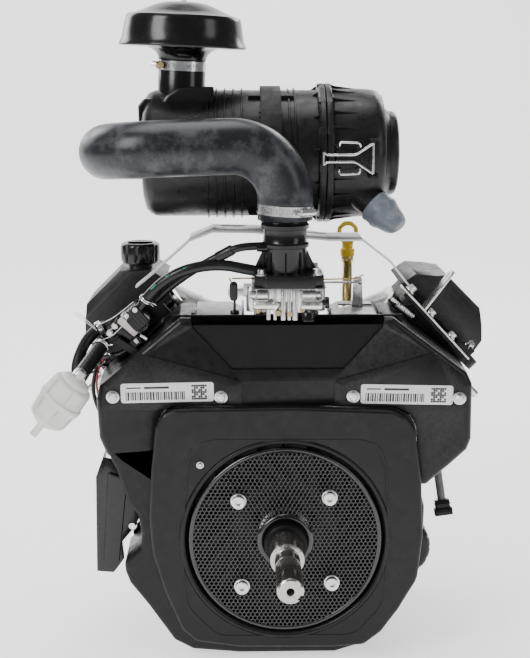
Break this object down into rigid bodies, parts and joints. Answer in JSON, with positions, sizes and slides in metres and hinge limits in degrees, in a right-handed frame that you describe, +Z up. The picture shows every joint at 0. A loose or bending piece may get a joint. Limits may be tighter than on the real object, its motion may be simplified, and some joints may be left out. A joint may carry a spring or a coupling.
{
  "type": "small gasoline engine",
  "caption": "Air-cooled V-twin gasoline engine with a fan housing, debris screen, front stub shaft and a remote canister air cleaner.",
  "frame": {"origin": "on the mounting face, at the middle of the four base bolts", "axes": "+Z up, +X to the right of someone who faces the cooling fan, +Y from the fan to the output shaft"},
  "size_m": [0.5404, 0.541, 0.757],
  "materials": {
    "shroud_black": "satin black powder coat",
    "panel_black": "textured black coat",
    "baffle_grey": "satin grey",
    "label_white": "printed film",
    "plated_bolts": "bright zinc plate",
    "block_black": "black engine paint on aluminium",
    "cover_black": "satin black",
    "cast_aluminium": "as cast",
    "steel_shaft": "ground and oiled",
    "flywheel_iron": "machined",
    "fan_plastic": "moulded",
    "screen_black": "black coated perforated steel",
    "plug_steel": "nickel plate",
    "coil_plastic": "potted",
    "lever_zinc": "zinc plate",
    "black_plastic": "glass-filled nylon",
    "hose_rubber": "moulded rubber with bloom",
    "valve_rubber": "grey-blue rubber",
    "clamp_steel": "stainless band",
    "filter_paper": "pleated paper",
    "strap_black": "black coat",
    "strap_pale": "pale satin coat",
    "pinion_steel": "hardened",
    "tube_brass": "yellow passivated",
    "stick_yellow": "yellow",
    "filter_nylon": "translucent white nylon",
    "loom_grey": "grey sleeve"
  },
  "bodies": {
    "engine": {"upper_housing": "shroud_black", "fan_housing": "shroud_black", "starter_guard": "shroud_black", "backing_plate": "shroud_black", "top_panel": "panel_black", "inner_baffles": "baffle_grey", "label_plates": "label_white", "shroud_bolts": "plated_bolts", "crankcase": "block_black", "closure_plate": "block_black", "cylinder_left": "block_black", "cylinder_right": "block_black", "head_left": "block_black", "head_right": "block_black", "valve_cover_left": "cover_black", "valve_cover_right": "cover_black", "intake_manifold": "cast_aluminium", "carburetor": "cast_aluminium", "pistons": "cast_aluminium", "spark_plugs": "plug_steel", "ignition_coils": "coil_plastic", "control_bracket": "lever_zinc", "air_adapter": "black_plastic", "canister_body": "black_plastic", "precleaner_cap": "black_plastic", "inlet_neck": "black_plastic", "loom_connector": "black_plastic", "loom_clip": "black_plastic", "fuel_pump": "black_plastic", "intake_hose": "hose_rubber", "fuel_hoses": "hose_rubber", "hose_clamp": "clamp_steel", "neck_clamp": "clamp_steel", "hanger_band": "strap_black", "pump_bracket": "strap_black", "oil_filter": "strap_black", "starter_motor": "strap_black", "support_strap": "strap_pale", "dipstick_tube": "tube_brass", "fuel_filter": "filter_nylon", "loom": "loom_grey"},
    "crank": {"crankshaft": "steel_shaft", "flywheel": "flywheel_iron", "cooling_fan": "fan_plastic", "debris_screen": "screen_black", "screen_bolts": "plated_bolts", "stub_shaft": "steel_shaft"},
    "camshaft": {"camshaft": "steel_shaft"},
    "throttle": {"throttle_lever": "lever_zinc"},
    "throttle_link": {"throttle_link": "lever_zinc"},
    "governor": {"governor_lever": "lever_zinc"},
    "choke": {"choke_lever": "black_plastic"},
    "air_cleaner_cover": {"canister_cover": "black_plastic", "dust_valve": "valve_rubber"},
    "front_latch": {"latch_front": "clamp_steel"},
    "rear_latch": {"latch_rear": "clamp_steel"},
    "air_filter": {"filter_element": "filter_paper"},
    "oil_cap": {"oil_fill_cap": "black_plastic"},
    "oil_dipstick": {"dipstick": "stick_yellow"},
    "starter_drive": {"starter_pinion": "pinion_steel"}
  },
  "joints": [
    {"name": "crank_spin", "type": "hinge", "parent": "engine", "child": "crank", "pos_m": [0, -0.19, 0.15], "axis": [0, 1, 0], "continuous": true},
    {"name": "camshaft_spin", "type": "hinge", "parent": "engine", "child": "camshaft", "pos_m": [0, 0.01, 0.212], "axis": [0, 1, 0], "continuous": true},
    {"name": "governor_swing", "type": "hinge", "parent": "engine", "child": "governor", "pos_m": [0.088, -0.09, 0.365], "axis": [0, 1, 0], "range_deg": [-14, 0]},
    {"name": "throttle_turn", "type": "hinge", "parent": "engine", "child": "throttle", "pos_m": [0.04, -0.1, 0.412], "axis": [0, 1, 0], "range_deg": [-43, 0]},
    {"name": "throttle_link_slide", "type": "slide", "parent": "engine", "child": "throttle_link", "axis": [1, 0, 0], "range_m": [-0.0175, 0]},
    {"name": "choke_turn", "type": "hinge", "parent": "engine", "child": "choke", "pos_m": [-0.058, -0.14, 0.432], "axis": [0, 1, 0], "range_deg": [0, 75]},
    {"name": "cover_slide", "type": "slide", "parent": "engine", "child": "air_cleaner_cover", "axis": [1, 0, 0], "range_m": [0, 0.26]},
    {"name": "filter_slide", "type": "slide", "parent": "engine", "child": "air_filter", "axis": [1, 0, 0], "range_m": [0, 0.13]},
    {"name": "front_latch_swing", "type": "hinge", "parent": "air_cleaner_cover", "child": "front_latch", "pos_m": [0.104, -0.1112, 0.5805], "axis": [0, 0, 1], "range_deg": [0, 100]},
    {"name": "rear_latch_swing", "type": "hinge", "parent": "air_cleaner_cover", "child": "rear_latch", "pos_m": [0.104, 0.0612, 0.5805], "axis": [0, 0, -1], "range_deg": [0, 100]},
    {"name": "oil_cap_turn", "type": "hinge", "parent": "engine", "child": "oil_cap", "pos_m": [-0.173, -0.018, 0.45], "axis": [0, 0, 1], "range_deg": [0, 90]},
    {"name": "dipstick_pull", "type": "slide", "parent": "engine", "child": "oil_dipstick", "axis": [0, 0, 1], "range_m": [0, 0.07]},
    {"name": "pinion_throw", "type": "slide", "parent": "engine", "child": "starter_drive", "axis": [0, -1, 0], "range_m": [0, 0.012]}
  ],
  "couplings": [
    {"joint": "camshaft_spin", "follows": "crank_spin", "ratio": -0.5},
    {"joint": "throttle_turn", "follows": "governor_swing", "ratio": 3.0435},
    {"joint": "throttle_link_slide", "follows": "governor_swing", "m_per_rad": 0.07},
    {"joint": "filter_slide", "follows": "cover_slide", "ratio": 0.5}
  ]
}
